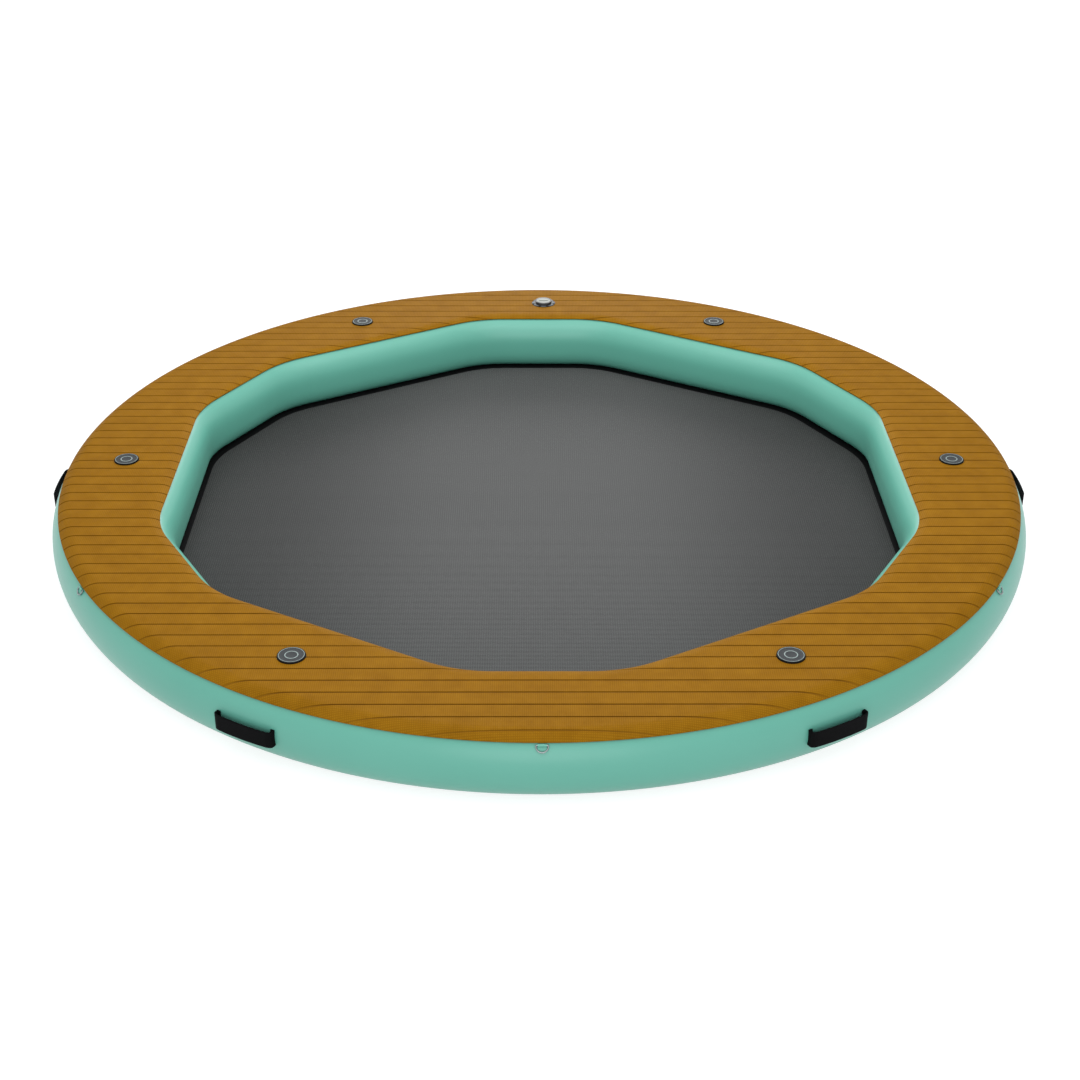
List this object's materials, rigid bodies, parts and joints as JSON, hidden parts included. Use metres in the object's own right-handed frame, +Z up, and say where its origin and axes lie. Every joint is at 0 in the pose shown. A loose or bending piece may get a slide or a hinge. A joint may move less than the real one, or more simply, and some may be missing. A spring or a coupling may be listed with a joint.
{
  "type": "inflatable water hammock",
  "caption": "Round inflatable ring with a grooved foam deck, a net floor in its twelve-sided opening, grab handles, D-rings, magnet pods and an inflation valve.",
  "frame": {"origin": "centre of the ring on its underside, where it rests on the ground or the water", "axes": "+Z up, square to the net floor; +Y towards the inflation valve; +X to the right of it"},
  "size_m": [3.087, 3.05, 0.2125],
  "materials": {
    "coated_fabric": "satin seafoam PVC-coated fabric",
    "drop_stitch_cloth": "woven polyester, hidden",
    "deck_foam": "embossed EVA foam, teak brown, routed grooves",
    "net_yarn": "coated open mesh",
    "black_webbing": "black woven webbing",
    "stainless_steel": "polished stainless wire",
    "magnet_steel": "plated magnet, hidden",
    "pod_plastic": "black moulded",
    "cover_plastic": "grey moulded",
    "valve_plastic": "dark grey moulded",
    "cap_plastic": "light grey moulded",
    "rubber": "black rubber"
  },
  "bodies": {
    "hammock": {"bottom_skin": "coated_fabric", "top_skin": "coated_fabric", "outer_rail": "coated_fabric", "inner_rail": "coated_fabric", "drop_stitch_core": "drop_stitch_cloth", "deck_pad": "deck_foam", "net_floor": "net_yarn", "net_binding": "black_webbing", "handle_1": "black_webbing", "d_ring_loop_1": "coated_fabric", "pod_base_1": "pod_plastic", "pod_magnet_1": "magnet_steel", "pod_cover_1": "cover_plastic", "handle_2": "black_webbing", "d_ring_loop_2": "coated_fabric", "pod_base_2": "pod_plastic", "pod_magnet_2": "magnet_steel", "pod_cover_2": "cover_plastic", "handle_3": "black_webbing", "d_ring_loop_3": "coated_fabric", "pod_base_3": "pod_plastic", "pod_magnet_3": "magnet_steel", "pod_cover_3": "cover_plastic", "handle_4": "black_webbing", "d_ring_loop_4": "coated_fabric", "pod_base_4": "pod_plastic", "pod_magnet_4": "magnet_steel", "pod_cover_4": "cover_plastic", "handle_5": "black_webbing", "d_ring_loop_5": "coated_fabric", "pod_base_5": "pod_plastic", "pod_magnet_5": "magnet_steel", "pod_cover_5": "cover_plastic", "handle_6": "black_webbing", "d_ring_loop_6": "coated_fabric", "pod_base_6": "pod_plastic", "pod_magnet_6": "magnet_steel", "pod_cover_6": "cover_plastic", "valve_housing": "valve_plastic", "valve_gasket": "rubber", "valve_back_nut": "valve_plastic", "valve_spring": "stainless_steel"},
    "d_ring_1": {"d_ring_1": "stainless_steel"},
    "d_ring_2": {"d_ring_2": "stainless_steel"},
    "d_ring_3": {"d_ring_3": "stainless_steel"},
    "d_ring_4": {"d_ring_4": "stainless_steel"},
    "d_ring_5": {"d_ring_5": "stainless_steel"},
    "d_ring_6": {"d_ring_6": "stainless_steel"},
    "valve_cap": {"valve_cap": "cap_plastic", "cap_seal_ring": "rubber"},
    "valve_stem": {"valve_stem": "valve_plastic", "valve_seal": "rubber"}
  },
  "joints": [
    {"name": "d_ring_1_swing", "type": "hinge", "parent": "hammock", "child": "d_ring_1", "pos_m": [0, 1.49987, 0.17361], "axis": [1, 0, 0], "range_deg": [0, 120]},
    {"name": "d_ring_2_swing", "type": "hinge", "parent": "hammock", "child": "d_ring_2", "pos_m": [1.29892, 0.74993, 0.17361], "axis": [0.5, -0.866, 0], "range_deg": [0, 120]},
    {"name": "d_ring_3_swing", "type": "hinge", "parent": "hammock", "child": "d_ring_3", "pos_m": [1.29892, -0.74993, 0.17361], "axis": [-0.5, -0.866, 0], "range_deg": [0, 120]},
    {"name": "d_ring_4_swing", "type": "hinge", "parent": "hammock", "child": "d_ring_4", "pos_m": [0, -1.49987, 0.17361], "axis": [-1, 0, 0], "range_deg": [0, 120]},
    {"name": "d_ring_5_swing", "type": "hinge", "parent": "hammock", "child": "d_ring_5", "pos_m": [-1.29892, -0.74993, 0.17361], "axis": [-0.5, 0.866, 0], "range_deg": [0, 120]},
    {"name": "d_ring_6_swing", "type": "hinge", "parent": "hammock", "child": "d_ring_6", "pos_m": [-1.29892, 0.74993, 0.17361], "axis": [0.5, 0.866, 0], "range_deg": [0, 120]},
    {"name": "valve_cap_twist", "type": "hinge", "parent": "hammock", "child": "valve_cap", "pos_m": [0.021, 1.33, 0.2], "axis": [0, 0, 1], "range_deg": [0, 90]},
    {"name": "valve_stem_push", "type": "slide", "parent": "hammock", "child": "valve_stem", "axis": [0, 0, -1], "range_m": [0, 0.005], "stiffness_N_per_m": 600, "springref_m": -0.002, "deforming": ["valve_spring"]}
  ]
}
